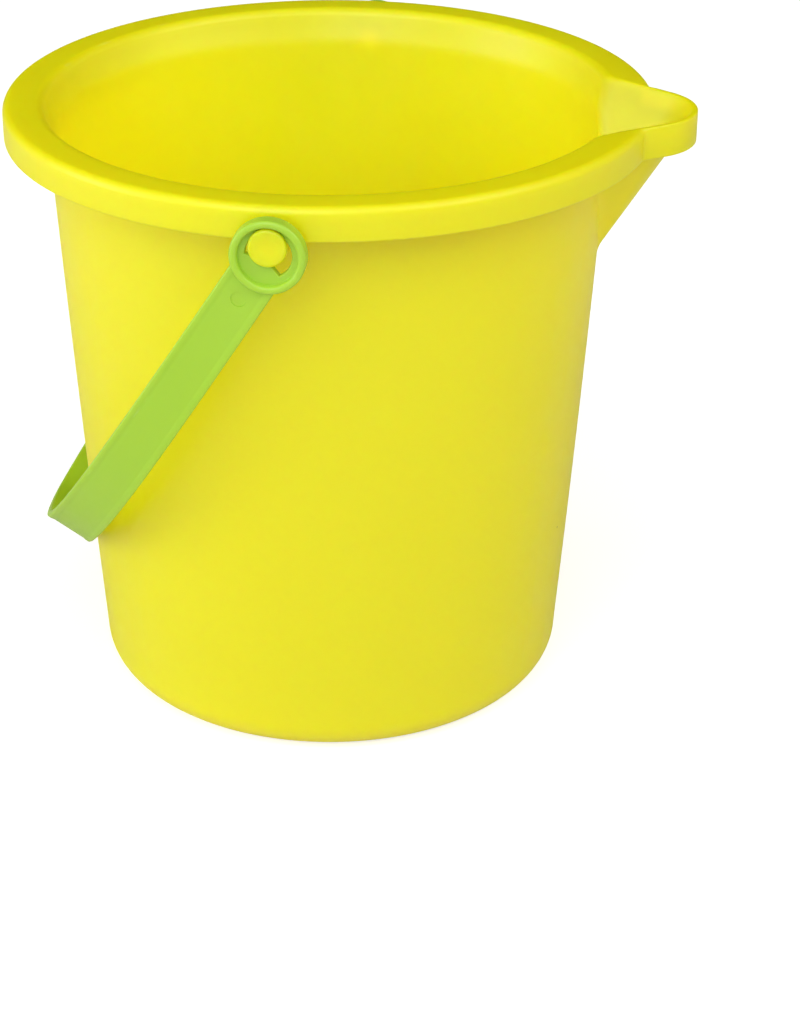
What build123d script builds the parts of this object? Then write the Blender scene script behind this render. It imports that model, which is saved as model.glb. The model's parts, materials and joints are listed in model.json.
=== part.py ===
"""A toy sand bucket: a yellow pail with a pouring lip, and a green strap handle on two headed pins.

Millimetres. The origin is the centre of the base, on the ground; +Z is up, +X points out over the
pouring lip, and the handle's pins lie on the Y axis. The handle is drawn hanging at rest on the
-X side, its grip against the wall.
"""

from build123d import *
import math
import os

# ---------------------------------------------------------------- driving dimensions
HEIGHT = 180.0                  # ground to the top of the rim
RIM_RADIUS = 93.0               # outside of the rim's skirt
WALL_TOP_RADIUS = 81.0          # outside of the wall, carried up to the top of the rim
WALL_FOOT_RADIUS = 69.3         # outside of the wall, carried down to the ground
WALL_BULGE = 0.55               # how far the wall bellies out halfway up
WALL_FLARE = 2.5                # behind the skirt the wall leans out by this much more
WALL_FLARE_ROUND = 12.0
FOOT_ROUND = 10.75              # outside rounding between wall and base

WALL = 1.7                      # moulded wall thickness
BASE = 2.2                      # base thickness
FLANGE = 2.0                    # thickness of the flat rim
SKIRT_DEPTH = 9.4               # height of the rim's turned-down skirt
SKIRT = 2.2                     # thickness of the skirt
RIM_OUTER_ROUND = 2.2           # rim top to skirt
RIM_INNER_ROUND = 3.0           # rim top to inside wall
FOOT_RECESS_RADIUS = 50.0       # shallow recess under the base, which leaves a foot ring
FOOT_RECESS = 0.8

LIP_REACH = 105.0               # tip of the pouring lip, from the bucket's axis
LIP_TIP_RADIUS = 17.3           # plan radius of the tip
LIP_HALF_ANGLE = 34.5           # degrees between each side of the V and the X axis
LIP_BACK = 68.0                 # the V runs back to here, inside the cavity
LIP_WALL_RISE = 2.6             # the inside of the lip is the outside, raised by this much
LIP_APEX_X = 78.0               # the gusset under the lip runs down to a point on the wall
LIP_APEX_SHARE = 0.02           # the point is blunted to this share of the mouth, inside the wall
LIP_DROP = 43.9                 # that point, below the rim
LIP_OUTER_ROUND = 0.6           # outer edge of the lip
LIP_INNER_ROUND = 0.4           # inner edge of the lip, and where it cuts the rim

PIN_DROP = 9.2                  # pin axis below the top of the rim
PIN_RADIUS = 3.45
PIN_HEAD_RADIUS = 5.15
PIN_HEAD_BACK = 97.2            # back of the pin's head, from the bucket's axis
PIN_HEAD = 1.8                  # thickness of the head
PIN_HEAD_ROUND = 0.8
PIN_DISH_RADIUS = 3.4           # shallow dish in the face of the head
PIN_DISH = 0.25

HANDLE_REACH = 151.4            # pin axis to the outside of the grip
HANDLE_HALF_SPAN = 97.2         # bucket's axis to the outside of the strap, at the pins
HANDLE_DROOP = 57.4             # degrees below the horizontal at rest
ARCH_REACH_POWER = 3.27         # (u / reach)^3.27 + (v / half span)^1.51 = 1 is the strap's arch
ARCH_SPAN_POWER = 1.51
STRAP = 2.2                     # strap thickness
STRAP_END_WIDTH = 13.4
STRAP_GRIP_WIDTH = 14.9
BEAD_WIDTH = 1.3                # raised bead along each edge of the strap
BEAD_HEIGHT = 0.2

RING_HANG = 2.6                 # at rest the ring hangs on the pin, its centre this far straight below
RING_RADIUS = 10.1
RING_LIP_INNER_RADIUS = 7.95
RING_LIP_HEIGHT = 1.8           # how far the ring's lip stands off the strap
RING_LIP_ROUND = 0.95
RING_BACK = 0.15                # how far the ring stands behind the strap
RING_FLOOR = 0.2                # the floor inside the lip is this far below the strap's face
THROAT_RADIUS = 6.17
TONGUE_EDGE_RADIUS = 12.0       # the half floor's edge bows towards the pin
TONGUE_EDGE = 2.0               # from the ring's centre, towards the strap
WITNESS_RADIUS = 2.1            # shallow round mark where the moulding was pushed out
WITNESS_OFFSET = 14.8           # from the ring's centre, along the strap
WITNESS = 0.3

# ---------------------------------------------------------------- derived
PIN_HEIGHT = HEIGHT - PIN_DROP
SKIRT_BOTTOM = HEIGHT - SKIRT_DEPTH
FLANGE_UNDERSIDE = HEIGHT - FLANGE
CUT = 5.0                       # how far a cutting shape runs past the surface it cuts


def wall_radius(height):
    """Outside of the wall below the rim: a taper that bellies out halfway up."""
    share = height / HEIGHT
    taper = WALL_FOOT_RADIUS + (WALL_TOP_RADIUS - WALL_FOOT_RADIUS) * share
    return taper + 4 * WALL_BULGE * share * (1 - share)


def wall_run(offset, foot_height):
    """Points up the wall, moved in by offset: its foot, its middle, where it flares and the rim's top."""
    below = [(wall_radius(height) - offset, height) for height in (foot_height, HEIGHT / 2, SKIRT_BOTTOM)]
    return below + [(WALL_TOP_RADIUS + WALL_FLARE - offset, HEIGHT)]


def lip_outline(inset=0.0, share=1.0):
    """The V of the pouring lip in plan: two straight sides that meet the round tip.

    inset moves it in, and share shrinks it about the point that the gusset runs down to.
    """
    angle = math.radians(LIP_HALF_ANGLE)
    centre_x = LIP_REACH - LIP_TIP_RADIUS
    tip_radius = LIP_TIP_RADIUS - inset
    touch_x = centre_x + tip_radius * math.sin(angle)
    touch_y = tip_radius * math.cos(angle)
    back_y = touch_y + (touch_x - LIP_BACK) * math.tan(angle)

    def shrunk(x, y):
        return (LIP_APEX_X + (x - LIP_APEX_X) * share, y * share)

    touches = (shrunk(touch_x, -touch_y), shrunk(touch_x, touch_y))
    backs = (shrunk(LIP_BACK, -back_y), shrunk(LIP_BACK, back_y))
    with BuildLine() as outline:
        ThreePointArc(touches[0], shrunk(LIP_REACH - inset, 0), touches[1])
        Polyline(touches[1], backs[1], backs[0], touches[0])
    return outline.line.edges()


# ---------------------------------------------------------------- bucket: the pouring lip
# The lip is a V-shaped cone whose point sits in the wall. The gusset is its outside, and the same
# cone, raised, is its inside.
with BuildPart() as lip_cone:
    with BuildSketch(Plane.XY.offset(HEIGHT)) as lip_mouth:
        make_face(lip_outline())
    with BuildSketch(Plane.XY.offset(HEIGHT - LIP_DROP * (1 - LIP_APEX_SHARE))) as lip_point:
        make_face(lip_outline(share=LIP_APEX_SHARE))
    loft(sections=[lip_point.sketch, lip_mouth.sketch], ruled=True)

with BuildPart() as gusset:
    add(lip_cone.part)
    split(bisect_by=Plane.XY.offset(HEIGHT - FLANGE / 2), keep=Keep.BOTTOM)

with BuildPart() as lip_inside:
    with Locations((0, 0, LIP_WALL_RISE)):
        add(lip_cone.part)

# The band that carries the rim's skirt round the lip, open underneath.
with BuildPart() as lip_band:
    with BuildSketch(Plane.XY.offset(HEIGHT)):
        make_face(lip_outline())
    extrude(amount=-SKIRT_DEPTH)
    fillet(lip_band.edges().group_by(Axis.Z)[-1].sort_by(Axis.X)[1:], radius=LIP_OUTER_ROUND)
    with BuildSketch(Plane.XY.offset(SKIRT_BOTTOM)):
        make_face(lip_outline(inset=SKIRT))
    extrude(amount=SKIRT_DEPTH - FLANGE, mode=Mode.SUBTRACT)
    with BuildSketch(Plane.XY.offset(HEIGHT)):
        Circle(RIM_RADIUS - SKIRT)
    extrude(amount=-SKIRT_DEPTH, mode=Mode.SUBTRACT)

# The cavity: inside wall, rounded foot and the big rounding over the rim's inner edge.
with BuildPart() as cavity:
    with BuildSketch(Plane.XZ) as cavity_profile:
        foot, middle, flare, top = wall_run(WALL, BASE)
        beyond = RIM_RADIUS + CUT
        above = HEIGHT + CUT
        with BuildLine():
            Polyline((0, above), (0, BASE), foot)
            ThreePointArc(foot, middle, flare)
            Polyline(flare, top, (beyond, HEIGHT), (beyond, above), (0, above))
        make_face()
        fillet(cavity_profile.vertices().sort_by_distance(foot)[0], radius=FOOT_ROUND - WALL)
        fillet(cavity_profile.vertices().sort_by_distance(flare)[0], radius=WALL_FLARE_ROUND)
        fillet(cavity_profile.vertices().sort_by_distance(top)[0], radius=RIM_INNER_ROUND)
    revolve(axis=Axis.Z)

# One handle pin on the +Y side: shank from the wall out through the skirt, then the rounded head
# with a shallow dish in its face.
with BuildPart() as pin:
    head_front = PIN_HEAD_BACK + PIN_HEAD
    head_top = PIN_HEIGHT + PIN_HEAD_RADIUS
    shank_top = PIN_HEIGHT + PIN_RADIUS
    shank_root = WALL_TOP_RADIUS - WALL
    with BuildSketch(Plane.YZ) as pin_profile:
        with BuildLine():
            Polyline(
                (shank_root, PIN_HEIGHT),
                (shank_root, shank_top),
                (PIN_HEAD_BACK, shank_top),
                (PIN_HEAD_BACK, head_top),
                (head_front, head_top),
                (head_front, PIN_HEIGHT),
                close=True,
            )
        make_face()
        fillet(pin_profile.vertices().sort_by_distance((head_front, head_top))[0], radius=PIN_HEAD_ROUND)
    revolve(axis=Axis((0, 0, PIN_HEIGHT), (0, 1, 0)))
    dish_radius = (PIN_DISH_RADIUS**2 + PIN_DISH**2) / (2 * PIN_DISH)
    with Locations((0, head_front - PIN_DISH + dish_radius, PIN_HEIGHT)):
        Sphere(dish_radius, mode=Mode.SUBTRACT)

# ---------------------------------------------------------------- bucket
with BuildPart() as bucket:
    # Solid of revolution, still full inside: foot and wall, flaring into the underside of the flat
    # rim, and the rim's turned-down skirt.
    with BuildSketch(Plane.XZ) as outer_profile:
        foot, middle, flare, top = wall_run(0, 0)
        with BuildLine():
            Line((0, 0), foot)
            ThreePointArc(foot, middle, flare)
            Polyline(flare, top, (0, HEIGHT), (0, 0))
        make_face()
        fillet(outer_profile.vertices().sort_by_distance(foot)[0], radius=FOOT_ROUND)
        fillet(outer_profile.vertices().sort_by_distance(flare)[0], radius=WALL_FLARE_ROUND)
        with Locations((RIM_RADIUS / 2, HEIGHT - FLANGE / 2)):
            Rectangle(RIM_RADIUS, FLANGE)
        with Locations((RIM_RADIUS - SKIRT / 2, HEIGHT - SKIRT_DEPTH / 2)):
            Rectangle(SKIRT, SKIRT_DEPTH)
        neck = (WALL_TOP_RADIUS + WALL_FLARE, FLANGE_UNDERSIDE)
        fillet(outer_profile.vertices().sort_by_distance(neck)[0], radius=RIM_INNER_ROUND - FLANGE)
        fillet(outer_profile.vertices().sort_by_distance((RIM_RADIUS, HEIGHT))[0], radius=RIM_OUTER_ROUND)
    revolve(axis=Axis.Z)

    # The skirt opens where it meets the lip's band, and the gusset fills in behind.
    with BuildSketch(Plane.XY.offset(SKIRT_BOTTOM)):
        make_face(lip_outline(inset=SKIRT))
        Circle((WALL_TOP_RADIUS + RIM_RADIUS) / 2, mode=Mode.SUBTRACT)
    extrude(amount=SKIRT_DEPTH - FLANGE, mode=Mode.SUBTRACT)
    add(lip_band.part)
    add(gusset.part)
    add(cavity.part, mode=Mode.SUBTRACT)
    add(lip_inside.part, mode=Mode.SUBTRACT)

    # Soften the lip's inner edge, right back to where it cuts the flat rim.
    inner_edges = bucket.edges().filter_by_position(Axis.Z, HEIGHT - 0.01, HEIGHT + 0.01)
    inner_edges = inner_edges.filter_by(GeomType.BSPLINE)
    fillet(inner_edges, radius=LIP_INNER_ROUND)

    # Shallow recess underneath, so that the bucket stands on a foot ring.
    with BuildSketch(Plane.XY):
        Circle(FOOT_RECESS_RADIUS)
    extrude(amount=FOOT_RECESS, taper=30, mode=Mode.SUBTRACT)

    # The two handle pins.
    add(pin.part)
    mirror(pin.part, about=Plane.XZ)

bucket.part.label = "bucket"

# ---------------------------------------------------------------- handle
# The handle's own plane: local x (u) runs from the pin axis towards the grip, local z (w) across
# the strap's width, and local y (v) along the pin axis. The plane is the middle of the strap, which
# lies a little below the pin axis because the rings hang on the pins.
droop = math.radians(HANDLE_DROOP)
pin_plane = Plane(
    origin=(0, 0, PIN_HEIGHT),
    x_dir=(-math.cos(droop), 0, -math.sin(droop)),
    z_dir=(-math.sin(droop), 0, math.cos(droop)),
)
handle_plane = pin_plane.offset(-RING_HANG * math.cos(droop))
RING_OFFSET = RING_HANG * math.sin(droop)   # ring centre from the pin axis, towards the strap


def arch_point(turn, inset):
    """A point on the strap's arch; turn runs from -1 at one pin, through 0 at the grip, to 1."""
    reach = HANDLE_REACH - inset
    half_span = HANDLE_HALF_SPAN - inset
    angle = turn * math.pi / 2
    along = reach * math.cos(angle) ** (2 / ARCH_REACH_POWER)
    across = half_span * math.copysign(abs(math.sin(angle)) ** (2 / ARCH_SPAN_POWER), angle)
    return (along, across)


ARCH_STEPS = 12                 # points on the arch from the grip to each pin
ARCH_TURNS = [step / ARCH_STEPS for step in range(1 - ARCH_STEPS, ARCH_STEPS)]


def arch_band(near_inset, far_inset):
    """The outline of the band between two insets of the arch, down to the pin axis."""
    with BuildLine() as outline:
        for inset in (near_inset, far_inset):
            half_span = HANDLE_HALF_SPAN - inset
            points = [(0, -half_span)] + [arch_point(turn, inset) for turn in ARCH_TURNS] + [(0, half_span)]
            Spline(*points, tangents=[(1, 0), (-1, 0)])
        for side in (-1, 1):
            Line((0, side * (HANDLE_HALF_SPAN - near_inset)), (0, side * (HANDLE_HALF_SPAN - far_inset)))
    return outline.line.edges()


def strap_plan(edge_inset, start):
    """Corners of the strap's plan, which widens from the ring to the grip, less an inset on each edge."""
    end = HANDLE_REACH + CUT
    growth = (STRAP_GRIP_WIDTH - STRAP_END_WIDTH) / 2 / HANDLE_REACH
    half_start = STRAP_END_WIDTH / 2 + growth * start - edge_inset
    half_end = STRAP_END_WIDTH / 2 + growth * end - edge_inset
    return [(start, -half_start), (end, -half_end), (end, half_end), (start, half_start)]


def ring_plane(side, depth):
    """The plane of one end ring, depth below the strap's face: x is u, and it faces out along the pin."""
    return Plane(
        origin=handle_plane.from_local_coords((0, side * (HANDLE_HALF_SPAN - depth), 0)),
        x_dir=handle_plane.x_dir,
        z_dir=handle_plane.y_dir * side,
    )


# Local x stays u, local y becomes w: the plane that sees the strap's width.
width_plane = Plane(origin=handle_plane.origin, x_dir=handle_plane.x_dir, z_dir=-handle_plane.y_dir)

# What is cut from the strap's face: the channel between its beads, and a witness mark at each end.
with BuildPart() as strap_channel:
    with BuildSketch(handle_plane):
        make_face(arch_band(-CUT, BEAD_HEIGHT))
    extrude(amount=STRAP_GRIP_WIDTH, both=True)
    with BuildSketch(width_plane):
        Polygon(*strap_plan(BEAD_WIDTH, RING_OFFSET + RING_RADIUS), align=None)
    extrude(amount=HANDLE_HALF_SPAN + 2 * CUT, both=True, mode=Mode.INTERSECT)
    for side in (-1, 1):
        with BuildSketch(ring_plane(side, BEAD_HEIGHT + WITNESS)):
            with Locations((RING_OFFSET + WITNESS_OFFSET, 0)):
                Circle(WITNESS_RADIUS)
        extrude(amount=CUT)

with BuildPart() as handle:
    with BuildSketch(handle_plane):
        make_face(arch_band(0, STRAP))
    extrude(amount=STRAP_GRIP_WIDTH, both=True)
    with BuildSketch(width_plane):
        Polygon(*strap_plan(0, RING_OFFSET), align=None)
    extrude(amount=HANDLE_HALF_SPAN + CUT, both=True, mode=Mode.INTERSECT)
    add(strap_channel.part, mode=Mode.SUBTRACT)

    for side in (-1, 1):
        with BuildSketch(ring_plane(side, STRAP + RING_BACK)):
            with Locations((RING_OFFSET, 0)):
                Circle(RING_RADIUS)
        extrude(amount=STRAP + RING_BACK + RING_LIP_HEIGHT)
        with BuildSketch(ring_plane(side, RING_FLOOR)):
            with Locations((RING_OFFSET, 0)):
                Circle(RING_LIP_INNER_RADIUS)
        extrude(amount=RING_FLOOR + RING_LIP_HEIGHT, mode=Mode.SUBTRACT)
        with BuildSketch(ring_plane(side, STRAP + RING_BACK)):
            with Locations((RING_OFFSET, 0)):
                Circle(THROAT_RADIUS)
            with Locations((RING_OFFSET + TONGUE_EDGE + TONGUE_EDGE_RADIUS, 0)):
                Circle(TONGUE_EDGE_RADIUS, mode=Mode.SUBTRACT)
        extrude(amount=STRAP + RING_BACK, mode=Mode.SUBTRACT)
    lip_fronts = handle.edges().filter_by(GeomType.CIRCLE)
    lip_fronts = lip_fronts.group_by(Axis.Y)[0] + lip_fronts.group_by(Axis.Y)[-1]
    fillet(lip_fronts, radius=RING_LIP_ROUND)

handle.part.label = "handle"

# ---------------------------------------------------------------- write the parts
os.makedirs("parts", exist_ok=True)
export_step(bucket.part, "parts/bucket.step")
export_step(handle.part, "parts/handle.step")
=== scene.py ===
"""Looks of the sand bucket: one yellow moulding with a pouring lip, and a green strap handle.

Shapes are worked out in millimetres in the CAD's frame and turned into metres when a mesh is made.
The bucket is one grid of rings about the Z axis: every ring has a point in each column of TURNS, so
the V of the lip is part of the same grid as the round wall. The handle is a swept strap with a
lathed ring at each end. Both stand in for their CAD nodes.
"""
import json
import math

import bmesh
import bpy
import numpy as np
from mathutils import Matrix, Vector

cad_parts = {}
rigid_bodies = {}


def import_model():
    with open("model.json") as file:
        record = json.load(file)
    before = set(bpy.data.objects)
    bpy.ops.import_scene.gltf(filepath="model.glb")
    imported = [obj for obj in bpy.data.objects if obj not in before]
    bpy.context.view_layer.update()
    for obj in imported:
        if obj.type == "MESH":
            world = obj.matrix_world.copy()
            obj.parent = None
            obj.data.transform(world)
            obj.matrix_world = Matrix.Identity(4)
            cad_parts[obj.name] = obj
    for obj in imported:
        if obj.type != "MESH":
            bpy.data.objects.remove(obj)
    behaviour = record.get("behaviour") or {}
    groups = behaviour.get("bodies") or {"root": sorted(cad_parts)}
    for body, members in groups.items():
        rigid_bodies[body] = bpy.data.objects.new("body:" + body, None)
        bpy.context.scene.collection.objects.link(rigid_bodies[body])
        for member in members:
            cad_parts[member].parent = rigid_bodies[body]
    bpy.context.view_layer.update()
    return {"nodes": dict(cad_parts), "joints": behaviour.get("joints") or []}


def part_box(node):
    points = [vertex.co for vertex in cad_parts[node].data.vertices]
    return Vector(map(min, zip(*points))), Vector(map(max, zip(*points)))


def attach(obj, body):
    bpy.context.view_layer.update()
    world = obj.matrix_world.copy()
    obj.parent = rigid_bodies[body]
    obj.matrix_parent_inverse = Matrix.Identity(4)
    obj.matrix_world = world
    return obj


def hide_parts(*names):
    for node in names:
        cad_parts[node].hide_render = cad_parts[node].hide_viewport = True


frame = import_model()

MM = 0.001

# ---------------------------------------------------------------- sizes taken from the frame, in mm
BUCKET_LOW, BUCKET_HIGH = [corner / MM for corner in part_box("bucket")]
SWING = frame["joints"][0]
HEIGHT = BUCKET_HIGH.z
RIM_RADIUS = -BUCKET_LOW.x
LIP_REACH = BUCKET_HIGH.x
PIN_FRONT = BUCKET_HIGH.y           # face of the pin's head
PIN_HEIGHT = SWING["pos_m"][2] / MM

# ---------------------------------------------------------------- bucket, in mm
WALL_TOP_RADIUS = 81.0              # outside of the wall, carried up to the top of the rim
WALL_FOOT_RADIUS = 69.3             # and carried down to the ground
WALL_BULGE = 0.55                   # how far the wall bellies out halfway up
WALL_FLARE = 2.5                    # behind the skirt the wall leans out by this much more
FLARE_SOFT = 1.6                    # half the height over which the flare sets in
WALL = 1.7
BASE = 2.2
FOOT_ROUND = 10.75
RECESS_RADIUS = 50.0                # shallow recess under the base
RECESS = 0.8
FLANGE = 2.0
SKIRT_DEPTH = 9.4
SKIRT = 2.2
RIM_OUTER_ROUND = 2.2
RIM_INNER_ROUND = 3.0
NECK_ROUND = 1.0                    # wall into the underside of the rim
EDGE_ROUND = 0.5                    # small roundings that a mould leaves

LIP_TIP_RADIUS = 17.3
LIP_HALF_ANGLE = math.radians(34.5)
LIP_APEX_X = 78.0
LIP_DROP = 43.9
LIP_WALL_RISE = 2.6
LIP_OUTER_ROUND = 0.6
LIP_GAP = 0.6                       # narrowest gap between the lip's skirt and the gusset
SHOULDER_SOFT = 1.2                 # softness of the crease where the lip leaves the rim
GUSSET_SOFT = 1.2                   # where the gusset leaves the wall
SPOUT_SOFT = 3.0                    # where the spout opens from the inside wall

PIN_RADIUS = 3.45
PIN_HEAD_RADIUS = 5.15
PIN_HEAD = 1.8
PIN_HEAD_ROUND = 0.8
PIN_DISH_RADIUS = 3.4
PIN_DISH = 0.25

# ---------------------------------------------------------------- handle, in mm
DROOP = math.radians(57.4)
HANDLE_REACH = 151.4
HANDLE_HALF_SPAN = 97.2
ARCH_REACH_POWER = 3.27
ARCH_SPAN_POWER = 1.51
STRAP = 2.2
STRAP_END_WIDTH = 13.4
STRAP_GRIP_WIDTH = 14.9
BEAD_WIDTH = 1.3
BEAD_HEIGHT = 0.2
BEAD_SLOPE = 0.8                    # width of the bead's inner side
RING_HANG = 2.6                     # the ring's centre hangs this far straight below the pin axis
RING_OFFSET = RING_HANG * math.sin(DROOP)
RING_RADIUS = 10.1
RING_LIP_INNER_RADIUS = 7.95
RING_LIP_HEIGHT = 1.8
RING_LIP_ROUND = 0.95
RING_BACK = 0.15
RING_FLOOR = 0.2
STRAP_ROOT = 9.0                    # the strap starts this far from the ring's centre, inside it
THROAT_RADIUS = 6.17
TONGUE_EDGE_RADIUS = 12.0
TONGUE_EDGE = 2.0
WITNESS_RADIUS = 2.1
WITNESS_OFFSET = 14.8
WITNESS = 0.3

# ---------------------------------------------------------------- camera and stage
CAMERA_AZIMUTH = math.radians(9.32)     # round from -Y towards the lip
CAMERA_DISTANCE = 0.7193                # from the bucket's axis, along the ground, in metres
CAMERA_HEIGHT = 0.4190
CAMERA_PITCH = math.radians(27.75)
CAMERA_ROLL = math.radians(-0.286)
CAMERA_LENS = 91.19
CAMERA_SHIFT = (0.0671, 0.0070)         # the object sits off the lens axis, as in a cropped picture


# ================================================================ meshes
def rounded(start, corner, end, steps):
    """Points of a quarter round from start to end, tangent to both sides of the corner."""
    points = []
    for turn in np.linspace(0, math.pi / 2, steps + 1):
        near, far = 1 - math.sin(turn), 1 - math.cos(turn)
        points.append(tuple(c + (s - c) * near + (e - c) * far for s, c, e in zip(start, corner, end)))
    return points


def mesh_from_rings(name, rings, close_ends=True):
    """A closed mesh through rings of points, each an array of (x, y, z) in mm, joined by quads."""
    count = len(rings[0])
    corners = [tuple(point) for ring in rings for point in np.asarray(ring) * MM]
    faces = []
    for low in range(0, (len(rings) - 1) * count, count):
        for i in range(count):
            j = (i + 1) % count
            faces.append((low + i, low + j, low + count + j, low + count + i))
    if close_ends:
        faces.append(tuple(range(count)))
        faces.append(tuple(range((len(rings) - 1) * count, len(rings) * count)))
    else:
        last = (len(rings) - 1) * count
        for i in range(count):
            j = (i + 1) % count
            faces.append((last + i, last + j, j, i))
    mesh = bpy.data.meshes.new(name)
    mesh.from_pydata(corners, [], faces)
    work = bmesh.new()
    work.from_mesh(mesh)
    bmesh.ops.recalc_face_normals(work, faces=work.faces)
    work.to_mesh(mesh)
    work.free()
    thing = bpy.data.objects.new(name, mesh)
    bpy.context.scene.collection.objects.link(thing)
    return thing


def combine(thing, tools, operation):
    """Joins tool meshes to thing, or cuts them from it, and removes the tools."""
    for tool in tools:
        cut = thing.modifiers.new(operation, "BOOLEAN")
        cut.object = tool
        cut.operation = operation
        cut.solver = "EXACT"
    graph = bpy.context.evaluated_depsgraph_get()
    made = bpy.data.meshes.new_from_object(thing.evaluated_get(graph))
    made.name = thing.name
    thing.modifiers.clear()
    thing.data = made
    for tool in tools:
        bpy.data.objects.remove(tool)


def smooth(thing, crease=math.radians(38)):
    """Smooth shading that leaves real corners crisp and flat faces flat."""
    thing.data.shade_smooth()
    thing.data.set_sharp_from_angle(angle=crease)
    even = thing.modifiers.new("even_normals", "WEIGHTED_NORMAL")
    even.keep_sharp = True


# ================================================================ bucket
FINE_END = 24.0                     # degrees each side of the lip with fine columns
FINE_COLUMNS = 80
PLAIN_COLUMNS = 105                 # columns from there to the far side
LIP_SPREAD = math.radians(50)       # the V's formula holds this far round, well past the lip
fine_turns = np.linspace(0, FINE_END, FINE_COLUMNS, endpoint=False)
half_turns = np.concatenate([fine_turns, np.linspace(FINE_END, 180, PLAIN_COLUMNS)])
TURNS = np.radians(np.concatenate([half_turns, -half_turns[-2:0:-1]]))
LIP_TURNS = np.minimum(np.abs(TURNS), LIP_SPREAD)


def smooth_max(a, b, soft):
    """The larger of a and b, with the crease between them rounded."""
    share = np.clip(0.5 + (a - b) / (2 * soft), 0, 1)
    return b + (a - b) * share + soft * share * (1 - share)


def smooth_step(low, high, value):
    """0 below low, 1 above high, and an S curve between them."""
    share = np.clip((value - low) / (high - low), 0, 1)
    return share * share * (3 - 2 * share)


def lip_radius(share, inset=0.0):
    """Distance from the Z axis to the lip's V in each column, with the V shrunk about its low point."""
    centre = LIP_APEX_X + (LIP_REACH - LIP_TIP_RADIUS - LIP_APEX_X) * share
    tip = LIP_TIP_RADIUS * share - inset
    side = (centre * math.sin(LIP_HALF_ANGLE) + tip) / np.sin(LIP_HALF_ANGLE + LIP_TURNS)
    under_root = np.maximum(tip * tip - (centre * np.sin(LIP_TURNS)) ** 2, 0)
    arc = centre * np.cos(LIP_TURNS) + np.sqrt(under_root)
    touch = np.arctan2(tip * math.cos(LIP_HALF_ANGLE), centre + tip * math.sin(LIP_HALF_ANGLE))
    return np.where((LIP_TURNS < touch) & (tip > 0), arc, side)


def outside_share(z):
    """How wide the gusset is at height z, as a share of the lip's mouth."""
    return 1 - (HEIGHT - z) / LIP_DROP


def inside_share(z):
    """The same for the spout's inside, which is the outside raised by LIP_WALL_RISE."""
    return 1 - (HEIGHT + LIP_WALL_RISE - z) / LIP_DROP


def wall(z, offset=0.0):
    """Radius of the wall's outside at height z, less an offset."""
    share = z / HEIGHT
    straight = WALL_FOOT_RADIUS + (WALL_TOP_RADIUS - WALL_FOOT_RADIUS) * share
    flare = WALL_FLARE / SKIRT_DEPTH * smooth_max(z - (HEIGHT - SKIRT_DEPTH), 0, FLARE_SOFT)
    return straight + 4 * WALL_BULGE * share * (1 - share) + flare - offset


def wall_lean(z):
    """Angle of the wall from upright at height z."""
    rise = 4 * WALL_BULGE / HEIGHT * (1 - 2 * z / HEIGHT)
    return math.atan((WALL_TOP_RADIUS - WALL_FOOT_RADIUS) / HEIGHT + rise)


# The rounding over the rim's inner edge touches the flat rim and the leaning wall below it.
RIM_LEAN = math.atan(wall(HEIGHT) - wall(HEIGHT - 1))
RIM_ROUND_LEVEL = HEIGHT - RIM_INNER_ROUND
RIM_ROUND_START = RIM_ROUND_LEVEL + RIM_INNER_ROUND * math.sin(RIM_LEAN)
RIM_ROUND_CENTRE = wall(HEIGHT, WALL) + RIM_INNER_ROUND * (1 - math.sin(RIM_LEAN)) / math.cos(RIM_LEAN)


def inside(z):
    """Radius of the cavity at height z in each column: wall, rim rounding and the open spout."""
    rise = np.maximum(z - RIM_ROUND_LEVEL, 0)
    bend = RIM_ROUND_CENTRE - np.sqrt(np.maximum(RIM_INNER_ROUND**2 - rise**2, 0))
    plain = np.where(z > RIM_ROUND_START, bend, wall(z, WALL))
    return smooth_max(plain, lip_radius(inside_share(z)), SPOUT_SOFT)


def outside(z):
    """Radius of the wall's outside at height z in each column, with the gusset under the lip."""
    return smooth_max(wall(z), lip_radius(outside_share(z)), GUSSET_SOFT)


def rim_outline(inset):
    """Radius of the rim's outline in each column, round the skirt and out round the lip."""
    return smooth_max(RIM_RADIUS - inset, lip_radius(1.0, inset), SHOULDER_SOFT)


def foot_round(floor, radius, offset, steps):
    """(radius, height) points of the foot's rounding, from the floor up to the wall."""
    lean = wall_lean(floor + radius)
    centre_z = floor + radius
    centre_r = wall(centre_z, offset) - radius / math.cos(lean) + radius * math.sin(lean) * math.tan(lean)
    turns = np.linspace(-math.pi / 2, -lean, steps + 1)
    return [(centre_r + radius * math.cos(t), centre_z + radius * math.sin(t)) for t in turns]


def heights(start, end, step):
    """Evenly spaced heights from start towards end, without the end itself."""
    count = max(1, round(abs(end - start) / step))
    return list(np.linspace(start, end, count, endpoint=False))


FINE_WALL = 1.0                     # ring spacing on the wall beside the lip
PLAIN_WALL = 5.0                    # and below it
LIP_LOW = HEIGHT - LIP_DROP - 6.0   # fine rings start here, a little below the gusset's point
FLOOR_RINGS = (6.0, 20.0, 35.0, 48.0)   # radii of the rings on the bucket's floor


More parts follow.
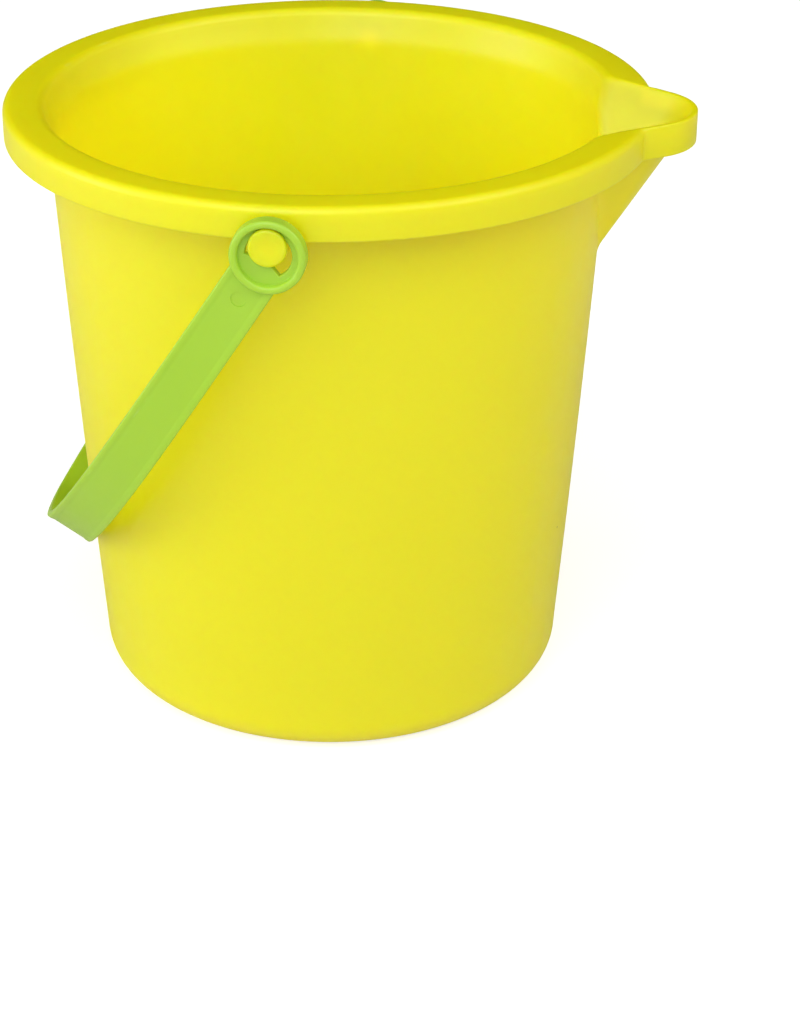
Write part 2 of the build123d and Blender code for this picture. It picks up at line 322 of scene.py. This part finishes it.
def inside_profile():
    """(radius, height) pairs of the inside, from the floor to the rim's inner edge."""
    column = np.ones_like(TURNS)
    foot = foot_round(BASE, FOOT_ROUND - WALL, WALL, 10)
    profile = [(column * r, column * BASE) for r in FLOOR_RINGS + (foot[0][0] - 1,)]
    profile += [(column * r, column * z) for r, z in foot]
    wall_start = foot[-1][1]
    levels = heights(wall_start, LIP_LOW, PLAIN_WALL)[1:]
    levels += heights(LIP_LOW, RIM_ROUND_START, FINE_WALL)
    for z in levels:
        profile.append((inside(column * z), column * z))

    # Round the rim the rings crowd towards the top; on the lip they stay evenly spaced.
    steps = 14
    on_lip = smooth_step(-1, 1, lip_radius(inside_share(HEIGHT)) - RIM_ROUND_CENTRE)
    last_turn = math.pi / 2 - EDGE_ROUND / RIM_INNER_ROUND
    for share in np.linspace(0, 1, steps + 1):
        turn = RIM_LEAN + (last_turn - RIM_LEAN) * share
        on_round = RIM_ROUND_LEVEL + RIM_INNER_ROUND * math.sin(turn)
        on_side = RIM_ROUND_START + (HEIGHT - EDGE_ROUND - RIM_ROUND_START) * share
        z = on_round + (on_side - on_round) * on_lip
        profile.append((inside(z), z))
    edge = inside(column * HEIGHT)
    top = column * HEIGHT
    profile += rounded(profile[-1], (edge, top), (edge + EDGE_ROUND, top), 5)[1:]
    return profile


def rim_profile():
    """Flat top of the rim, round its outer edge, down the skirt and up inside it."""
    column = np.ones_like(TURNS)
    top = column * HEIGHT
    bottom = column * (HEIGHT - SKIRT_DEPTH)
    on_lip = smooth_step(-2, 2, lip_radius(1.0) - RIM_RADIUS)
    edge = RIM_OUTER_ROUND + (LIP_OUTER_ROUND - RIM_OUTER_ROUND) * on_lip
    flat_start = inside(top) + EDGE_ROUND
    flat_end = rim_outline(edge)
    profile = []
    for share in (0.08, 0.25, 0.5, 0.75, 0.92):
        profile.append((flat_start + (flat_end - flat_start) * share, top))
    for turn in np.linspace(0, math.pi / 2, 11):
        inset = edge * (1 - math.sin(turn))
        profile.append((rim_outline(inset), HEIGHT - edge * (1 - math.cos(turn))))
    skirt_top = HEIGHT - edge
    for share in (0.1, 0.3, 0.5, 0.7, 0.9):
        profile.append((rim_outline(0), skirt_top + (bottom + EDGE_ROUND - skirt_top) * share))
    quarter = np.linspace(0, math.pi / 2, 6)
    for turn in quarter:
        inset = EDGE_ROUND * (1 - math.cos(turn))
        profile.append((rim_outline(inset), bottom + EDGE_ROUND * (1 - math.sin(turn))))
    for turn in quarter[::-1]:
        inset = SKIRT - EDGE_ROUND * (1 - math.cos(turn))
        profile.append((rim_outline(inset), bottom + EDGE_ROUND * (1 - math.sin(turn))))
    return profile


def groove_top():
    """Height in each column at which the space behind the skirt closes."""
    levels = np.linspace(HEIGHT - SKIRT_DEPTH, HEIGHT - FLANGE, 80)
    stack = np.array([outside(np.full_like(TURNS, z)) for z in levels])
    limits = rim_outline(SKIRT) - LIP_GAP
    return np.array([np.interp(limit, radii, levels) for limit, radii in zip(limits, stack.T)])


GROOVE_SHARE = 0.45                 # roundings take up this share of a narrow groove at most
FOOT_RING_EDGE = 1.5                # last flat ring of the foot, from the recess
RECESS_SLOPE = 1.2                  # plan width of the recess's sloping, rounded edge


def outside_profile():
    """Up behind the skirt, over the groove, and down the wall and gusset to the foot."""
    column = np.ones_like(TURNS)
    bottom = HEIGHT - SKIRT_DEPTH
    close = groove_top()
    skirt_inside = rim_outline(SKIRT)
    gap = skirt_inside - outside(close)
    small = np.minimum(EDGE_ROUND, gap * GROOVE_SHARE)
    neck = np.minimum(NECK_ROUND, gap * GROOVE_SHARE)
    profile = []
    for share in (0.15, 0.4, 0.7, 0.95):
        low = bottom + EDGE_ROUND
        profile.append((skirt_inside, low + (close - small - low) * share))
    corner = (skirt_inside, close)
    profile += rounded((skirt_inside, close - small), corner, (skirt_inside - small, close), 4)
    corner = (outside(close), close)
    below = (outside(close - neck), close - neck)
    profile += rounded((outside(close) + neck, close), corner, below, 8)
    for share in np.linspace(0, 1, 9)[1:-1]:
        z = close - neck + (bottom - close + neck) * share
        profile.append((outside(z), z))
    foot = foot_round(0, FOOT_ROUND, 0, 12)[::-1]
    for z in heights(bottom, LIP_LOW, FINE_WALL) + heights(LIP_LOW, foot[0][1], PLAIN_WALL):
        profile.append((outside(column * z), column * z))
    profile += [(column * r, column * z) for r, z in foot]
    profile += [(column * r, column * 0) for r in (foot[-1][0] - 1, RECESS_RADIUS + FOOT_RING_EDGE)]
    half_slope = RECESS_SLOPE / 2
    slope_in = RECESS_RADIUS - RECESS_SLOPE
    middle = (RECESS_RADIUS - 0.75 * half_slope, RECESS / 2)
    profile += rounded((RECESS_RADIUS + half_slope, 0), (RECESS_RADIUS, 0), middle, 4)
    profile += rounded(middle, (RECESS_RADIUS - half_slope, RECESS), (slope_in, RECESS), 4)[1:]
    profile += [(column * r, column * RECESS) for r in (slope_in - 1, 30.0, 6.0)]
    return profile


def lathe(profile, centre, outward, steps):
    """Rings of (distance out, radius) round an axis that leaves centre towards +Y or -Y."""
    turns = np.linspace(0, 2 * math.pi, steps, endpoint=False)
    rings = []
    for out, radius in profile:
        rings.append(np.stack([centre[0] + radius * np.cos(turns),
                               np.full_like(turns, centre[1] + outward * out),
                               centre[2] + radius * np.sin(turns)], -1))
    return rings


PIN_ROOT = WALL_TOP_RADIUS - 1.0    # the shank ends here, inside the wall
PIN_BACK_ROUND = 0.3                # rear edge of the head


def pin_profile():
    """(distance from the Z axis, radius) of a handle pin, from inside the wall to the dished face."""
    back = PIN_FRONT - PIN_HEAD
    profile = [(PIN_ROOT, 1.0), (PIN_ROOT, PIN_RADIUS - 0.1), (PIN_ROOT + 0.1, PIN_RADIUS)]
    shank, head = PIN_RADIUS, PIN_HEAD_RADIUS
    profile += rounded((back - EDGE_ROUND, shank), (back, shank), (back, shank + EDGE_ROUND), 4)
    profile += rounded((back, head - PIN_BACK_ROUND), (back, head), (back + PIN_BACK_ROUND, head), 4)
    start = (PIN_FRONT - PIN_HEAD_ROUND, head)
    profile += rounded(start, (PIN_FRONT, head), (PIN_FRONT, head - PIN_HEAD_ROUND), 8)
    for share in np.linspace(1, 0.15, 8):
        profile.append((PIN_FRONT - PIN_DISH * (1 - share * share), PIN_DISH_RADIUS * share))
    return profile


def build_bucket():
    """The yellow moulding: one grid of rings, with the two pins joined on."""
    rings = []
    for radius, height in inside_profile() + rim_profile() + outside_profile():
        radius = np.broadcast_to(radius, TURNS.shape)
        height = np.broadcast_to(height, TURNS.shape)
        rings.append(np.stack([radius * np.cos(TURNS), radius * np.sin(TURNS), height], -1))
    bucket = mesh_from_rings("bucket_moulding", rings)
    pins = []
    for side in (-1, 1):
        rings = lathe(pin_profile(), (0, 0, PIN_HEIGHT), side, 48)
        pins.append(mesh_from_rings(f"pin_{side}", rings))
    combine(bucket, pins, "UNION")
    smooth(bucket)
    return bucket


# ================================================================ handle
def handle_point(u, v, w):
    """Frame coordinates of a point of the handle: u towards the grip, v along the pins, w across."""
    lift = w - RING_HANG * math.cos(DROOP)
    x = -math.cos(DROOP) * u - math.sin(DROOP) * lift
    z = PIN_HEIGHT - math.sin(DROOP) * u + math.cos(DROOP) * lift
    return np.stack([x, v + 0 * x, z], -1)


ARCH_SAMPLES = 4001
STRAP_STATIONS = 150                # sections along the strap


def arch():
    """Points of the strap's outer face in (u, v), and the distance along it."""
    angle = np.linspace(-math.pi / 2, math.pi / 2, ARCH_SAMPLES)
    u = HANDLE_REACH * np.cos(angle).clip(0) ** (2 / ARCH_REACH_POWER)
    v = HANDLE_HALF_SPAN * np.sign(angle) * np.abs(np.sin(angle)) ** (2 / ARCH_SPAN_POWER)
    along = np.concatenate([[0], np.cumsum(np.hypot(np.diff(u), np.diff(v)))])
    return u, v, along


def strap_section():
    """Points round the strap's section: (which edge, distance from it, depth), with a bead each side."""
    half = [                        # (distance in from the edge, depth), rounding of that corner
        ((0, -STRAP), 0.5),
        ((0, 0), 0.45),
        ((BEAD_WIDTH, 0), 0.3),
        ((BEAD_WIDTH + BEAD_SLOPE, -BEAD_HEIGHT), 0.3),
    ]
    corners = [(-1, spot, size) for spot, size in half]
    corners += [(1, spot, size) for spot, size in half[::-1]]
    full = [(side, side * -spot[0], spot[1], size) for side, spot, size in corners]
    wide = STRAP_END_WIDTH / 2
    places = np.array([(side * wide + across, depth) for side, across, depth, _ in full])
    section = []
    for i, (side, _, _, size) in enumerate(full):
        here = places[i]
        before = places[i - 1] - here
        after = places[(i + 1) % len(full)] - here
        start = here + before / np.hypot(*before) * size
        end = here + after / np.hypot(*after) * size
        for point in rounded(start, here, end, 3):
            section.append((side, point[0] - side * wide, point[1]))
    return section


def strap_rings():
    """The strap's sections, each a ring of points, from one end ring round to the other."""
    u_line, v_line, along_line = arch()
    half_length = along_line[-1] / 2
    section = strap_section()
    growth = (STRAP_GRIP_WIDTH - STRAP_END_WIDTH) / 2 / HANDLE_REACH
    du = np.gradient(u_line, along_line)
    dv = np.gradient(v_line, along_line)
    rings = []
    for share in np.linspace(-1, 1, STRAP_STATIONS):
        ring = []
        for side, across, depth in section:
            start_across = side * STRAP_END_WIDTH / 2 + across
            start = RING_OFFSET + math.sqrt(STRAP_ROOT**2 - start_across**2)
            along = half_length + share * (half_length - start)
            u = np.interp(along, along_line, u_line)
            v = np.interp(along, along_line, v_line)
            tangent = np.array([np.interp(along, along_line, du), np.interp(along, along_line, dv)])
            tangent /= np.hypot(*tangent)
            normal = np.array([tangent[1], -tangent[0]])
            w = side * (STRAP_END_WIDTH / 2 + growth * u) + across
            ring.append(handle_point(u + normal[0] * depth, v + normal[1] * depth, w))
        rings.append(np.array(ring))
    return rings


def witness_cut(side):
    """A short round plug that cuts the witness mark into the strap's face."""
    spot = handle_point(RING_OFFSET + WITNESS_OFFSET, 0, 0)
    face = HANDLE_HALF_SPAN - BEAD_HEIGHT
    floor, top = face - WITNESS, face + 2
    profile = [(floor, 0.3), (floor, WITNESS_RADIUS), (top, WITNESS_RADIUS + 0.3), (top, 0.3)]
    return mesh_from_rings(f"mark_{side}", lathe(profile, (spot[0], 0, spot[2]), side, 40))


def build_handle():
    """The green moulding: strap, two end rings and the witness marks."""
    handle = mesh_from_rings("strap_handle", strap_rings())
    combine(handle, [ring_mesh(side) for side in (-1, 1)], "UNION")
    combine(handle, [witness_cut(side) for side in (-1, 1)], "DIFFERENCE")
    smooth(handle)
    return handle


RING_STEPS = 120
RING_EDGE_ROUND = 0.2
THROAT_EDGE_ROUND = 0.5             # front edge of the D-shaped hole
THROAT_CORNER_SOFT = 0.4            # the hole's two corners
BEYOND = 99.0                       # farther out than any point of the ring


def ring_mesh(side):
    """One end ring: outer wall, rounded lip, floor and the D-shaped hole that the pin sits in."""
    turns = np.linspace(0, 2 * math.pi, RING_STEPS, endpoint=False)
    cosine, sine = np.cos(turns), np.sin(turns)

    def circle(radius):
        return RING_OFFSET + radius * cosine, radius * sine

    # Seen from the pin, the hole is the throat's circle, cut off by the tongue's bowed edge.
    throat = RING_OFFSET * cosine + np.sqrt(THROAT_RADIUS**2 - (RING_OFFSET * sine) ** 2)
    tongue_centre = RING_OFFSET + TONGUE_EDGE + TONGUE_EDGE_RADIUS
    under_root = TONGUE_EDGE_RADIUS**2 - (tongue_centre * sine) ** 2
    tongue = tongue_centre * cosine - np.sqrt(np.maximum(under_root, 0))
    tongue = np.where((under_root > 0) & (cosine > 0), tongue, BEYOND)
    reach = -smooth_max(-throat, -tongue, THROAT_CORNER_SOFT)

    def hole(grow):
        return (reach + grow) * cosine, (reach + grow) * sine

    face = HANDLE_HALF_SPAN
    back = face - STRAP - RING_BACK
    front = face + RING_LIP_HEIGHT
    floor = face - RING_FLOOR
    outer, inner = RING_RADIUS, RING_LIP_INNER_RADIUS
    small, lip, throat_edge = RING_EDGE_ROUND, RING_LIP_ROUND, THROAT_EDGE_ROUND
    around = rounded((back, outer - small), (back, outer), (back + small, outer), 3)
    around += rounded((front - lip, outer), (front, outer), (front, outer - lip), 8)
    around += rounded((front, inner + lip), (front, inner), (front - lip, inner), 8)
    around += rounded((floor + small, inner), (floor, inner), (floor, inner - small), 3)
    through = rounded((floor, throat_edge), (floor, 0), (floor - throat_edge, 0), 4)
    through += rounded((back + small, 0), (back, 0), (back, small), 3)
    loops = [(circle(radius), out) for out, radius in around]
    loops += [(hole(grow), out) for out, grow in through]
    rings = [handle_point(u, side * out, w) for (u, w), out in loops]
    return mesh_from_rings(f"ring_{side}", rings, close_ends=False)


# ================================================================ materials
def shader_tree(name):
    """A new material and its empty node tree."""
    material = bpy.data.materials.new(name)
    material.use_nodes = True
    tree = material.node_tree
    tree.nodes.clear()
    return material, tree


def add_node(tree, kind, settings=None, **inputs):
    """A shader node. settings are its properties; inputs are values or another node's output.

    An input is named as in Blender, with _ for a space, or by its number: i0, i1, i6.
    """
    made = tree.nodes.new(kind)
    for key, value in (settings or {}).items():
        setattr(made, key, value)
    for key, value in inputs.items():
        numbered = key[0] == "i" and key[1:].isdigit()
        socket = made.inputs[int(key[1:]) if numbered else key.replace("_", " ")]
        if isinstance(value, bpy.types.NodeSocket):
            tree.links.new(value, socket)
        else:
            socket.default_value = value
    return made


def noise(tree, place, size_mm, detail=2.0, stretch=(1, 1, 1)):
    """Noise whose features are about size_mm across, optionally stretched along an axis."""
    shift = add_node(tree, "ShaderNodeMapping", Vector=place, Scale=tuple(1 / s for s in stretch))
    scale = 1 / (size_mm * MM)
    made = add_node(tree, "ShaderNodeTexNoise", Vector=shift.outputs[0], Scale=scale, Detail=detail)
    return made.outputs["Fac"]


def blend(tree, share, low, high):
    """Colour between low and high."""
    return add_node(tree, "ShaderNodeMix", {"data_type": "RGBA"}, i0=share, i6=low, i7=high).outputs[2]


def arithmetic(tree, operation, *values):
    """A number worked out from up to three others."""
    inputs = {f"i{place}": value for place, value in enumerate(values)}
    return add_node(tree, "ShaderNodeMath", {"operation": operation}, **inputs).outputs[0]


def surface_bump(tree, height, strength, depth_mm, below=None):
    """A normal bumped by depth_mm, on top of another bumped normal if there is one."""
    inputs = {"Height": height, "Strength": strength, "Distance": depth_mm * MM}
    if below:
        inputs["Normal"] = below
    return add_node(tree, "ShaderNodeBump", **inputs).outputs[0]


def ramp(tree, value, low, high, from_low=0.0, from_high=1.0):
    """Maps value from one range to another, and stays inside it."""
    made = add_node(tree, "ShaderNodeMapRange", {"clamp": True}, Value=value, From_Min=from_low,
                    From_Max=from_high, To_Min=low, To_Max=high)
    return made.outputs["Result"]


SPECK_SPACING = 36.0                # mm between specks
SPECK_COLOUR = (0.12, 0.09, 0.02, 1)
LIGHT_TRAVEL = 8.0                  # mm that red light travels inside the plastic
TRAVEL_BY_COLOUR = (1.0, 0.7, 0.06)


def plastic(name, colour, pale, deep, translucency, roughness):
    """Moulded polypropylene: satin, translucent, with flow clouding, fine grain and scuffs.

    colour and deep are the two tones of the clouding, and pale is the tone of worn corners.
    """
    material, tree = shader_tree(name)
    place = add_node(tree, "ShaderNodeTexCoord").outputs["Object"]

    cloud = ramp(tree, noise(tree, place, 55, 3.0, (1, 1, 2.2)), 0.0, 1.0, 0.35, 0.65)
    tone = blend(tree, cloud, deep, colour)

    # Corners that get handled go paler and duller.
    edge = add_node(tree, "ShaderNodeNewGeometry").outputs["Pointiness"]
    worn = ramp(tree, edge, 0.0, 1.0, 0.515, 0.58)
    patchy = ramp(tree, noise(tree, place, 6, 4.0), 0.0, 1.0, 0.42, 0.62)
    wear = arithmetic(tree, "MULTIPLY", worn, patchy)
    tone = blend(tree, ramp(tree, wear, 0.0, 0.45), tone, pale)

    # Tiny dark specks in the plastic, a few over the whole piece.
    cells = add_node(tree, "ShaderNodeTexVoronoi", Vector=place, Scale=1 / (SPECK_SPACING * MM))
    speck = ramp(tree, cells.outputs["Distance"], 1.0, 0.0, 0.008, 0.011)
    tone = blend(tree, ramp(tree, speck, 0.0, 0.6), tone, SPECK_COLOUR)

    mottle = ramp(tree, noise(tree, place, 9, 4.0), -0.03, 0.05, 0.3, 0.7)
    streak = ramp(tree, noise(tree, place, 1.2, 3.0, (1, 1, 30)), -0.01, 0.03, 0.35, 0.7)
    dull = arithmetic(tree, "ADD", mottle, streak)
    rough = arithmetic(tree, "ADD", dull, roughness)
    rough = arithmetic(tree, "MULTIPLY_ADD", wear, 0.15, rough)

    waves = surface_bump(tree, noise(tree, place, 38, 1.0), 0.25, 0.6)
    bump = surface_bump(tree, noise(tree, place, 0.35, 2.0), 0.18, 0.03, waves)

    body = add_node(
        tree, "ShaderNodeBsdfPrincipled", Base_Color=tone, Roughness=rough, IOR=1.49, Normal=bump,
        Subsurface_Weight=translucency, Subsurface_Radius=TRAVEL_BY_COLOUR,
        Subsurface_Scale=LIGHT_TRAVEL * MM,
    )
    add_node(tree, "ShaderNodeOutputMaterial", Surface=body.outputs[0])
    return material


YELLOW = plastic(
    "yellow_plastic",
    colour=(0.98, 0.815, 0.004, 1),
    pale=(0.97, 0.84, 0.08, 1),
    deep=(0.965, 0.79, 0.003, 1),
    translucency=1.0,
    roughness=0.38,
)
GREEN = plastic(
    "green_plastic",
    colour=(0.38, 0.655, 0.045, 1),
    pale=(0.45, 0.70, 0.12, 1),
    deep=(0.36, 0.63, 0.035, 1),
    translucency=0.3,
    roughness=0.36,
)


# ================================================================ stage
FLOOR_GLOW = 0.65                   # lifts the floor to plain white in the picture, and lights nothing
FLOOR_HALF = 6.0                    # half the floor's width, in metres


def floor_paper():
    """Matt paper, whitened only where the camera looks straight at it."""
    material, tree = shader_tree("floor_paper")
    place = add_node(tree, "ShaderNodeTexCoord").outputs["Object"]
    tone = ramp(tree, noise(tree, place, 180, 3.0), 0.68, 0.72)
    seen = add_node(tree, "ShaderNodeLightPath").outputs["Is Camera Ray"]
    glow = ramp(tree, seen, 0.0, FLOOR_GLOW)
    body = add_node(tree, "ShaderNodeBsdfPrincipled", Base_Color=tone, Roughness=0.9,
                    Emission_Color=(1, 1, 1, 1), Emission_Strength=glow)
    add_node(tree, "ShaderNodeOutputMaterial", Surface=body.outputs[0])
    return material


def build_floor():
    """A wide plain floor at the bucket's foot."""
    half = FLOOR_HALF
    corners = [(-half, -half, 0), (half, -half, 0), (half, half, 0), (-half, half, 0)]
    mesh = bpy.data.meshes.new("floor")
    mesh.from_pydata(corners, [], [(0, 1, 2, 3)])
    floor = bpy.data.objects.new("floor", mesh)
    bpy.context.scene.collection.objects.link(floor)
    mesh.materials.append(floor_paper())


def soft_light(name, place, size, power, aim=(0, 0, 0.1)):
    """A square soft box at place, in metres, pointed at aim."""
    light = bpy.data.lights.new(name, "AREA")
    light.shape = "SQUARE"
    light.size = size
    light.energy = power
    lamp = bpy.data.objects.new(name, light)
    lamp.location = place
    lamp.rotation_euler = (Vector(aim) - Vector(place)).to_track_quat("-Z", "Y").to_euler()
    bpy.context.scene.collection.objects.link(lamp)


ROOM_SIDES = 0.42                   # brightness of the room low down and overhead
ROOM_TOP = 0.5
ROOM_COLOUR = (1.0, 0.95, 0.86, 1)
SCREEN_INNER = math.radians(32)     # the screen is fully dark this far round its middle
SCREEN_OUTER = math.radians(60)


def build_sky():
    """A white room with a dark screen behind the object, which the flat rim mirrors to the camera."""
    world = bpy.data.worlds.new("room")
    world.use_nodes = True
    tree = world.node_tree
    tree.nodes.clear()
    place = add_node(tree, "ShaderNodeTexCoord").outputs["Generated"]
    height = add_node(tree, "ShaderNodeSeparateXYZ", Vector=place).outputs["Z"]
    level = ramp(tree, height, ROOM_SIDES, ROOM_TOP, 0.2, 0.9)
    mirrored = (
        -math.sin(CAMERA_AZIMUTH) * math.cos(CAMERA_PITCH),
        math.cos(CAMERA_AZIMUTH) * math.cos(CAMERA_PITCH),
        math.sin(CAMERA_PITCH),
    )
    cosine = add_node(tree, "ShaderNodeVectorMath", {"operation": "DOT_PRODUCT"}, i0=place, i1=mirrored)
    limits = (math.cos(SCREEN_OUTER), math.cos(SCREEN_INNER))
    open_share = ramp(tree, cosine.outputs["Value"], 1.0, 0.0, *limits)
    strength = arithmetic(tree, "MULTIPLY", level, open_share)
    sky = add_node(tree, "ShaderNodeBackground", Color=ROOM_COLOUR, Strength=strength)
    add_node(tree, "ShaderNodeOutputWorld", Surface=sky.outputs[0])
    bpy.context.scene.world = world


def build_camera():
    """The camera of the reference view, turned round the bucket's axis."""
    camera = bpy.data.objects.new("camera", bpy.data.cameras.new("camera"))
    camera.data.lens = CAMERA_LENS
    camera.data.shift_x, camera.data.shift_y = CAMERA_SHIFT
    around = Matrix.Rotation(CAMERA_AZIMUTH, 4, "Z")
    tilt = Matrix.Rotation(math.pi / 2 - CAMERA_PITCH, 4, "X") @ Matrix.Rotation(CAMERA_ROLL, 4, "Z")
    camera.matrix_world = around @ Matrix.Translation((0, -CAMERA_DISTANCE, CAMERA_HEIGHT)) @ tilt
    bpy.context.scene.collection.objects.link(camera)
    bpy.context.scene.camera = camera


# ================================================================ assembly
def finish_piece(piece, node, body, material):
    """Puts the piece in place of its CAD node, on its body, with the same material on both."""
    for thing in (piece, frame["nodes"][node]):
        thing.data.materials.clear()
        thing.data.materials.append(material)
    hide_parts(node)
    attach(piece, body)


finish_piece(build_bucket(), "bucket", SWING["parent"], YELLOW)
finish_piece(build_handle(), "handle", SWING["child"], GREEN)

build_floor()
build_sky()
soft_light("key", (-0.3, -1.45, 1.25), size=1.4, power=17)
soft_light("left", (-1.5, -0.5, 0.45), size=1.0, power=9)
soft_light("fill", (1.25, -0.6, 1.3), size=1.2, power=10)
soft_light("inside", (0, 0, 0.176), size=0.11, power=0.018, aim=(0, 0.02, 0))
build_camera()
bpy.context.scene.view_settings.view_transform = "Standard"
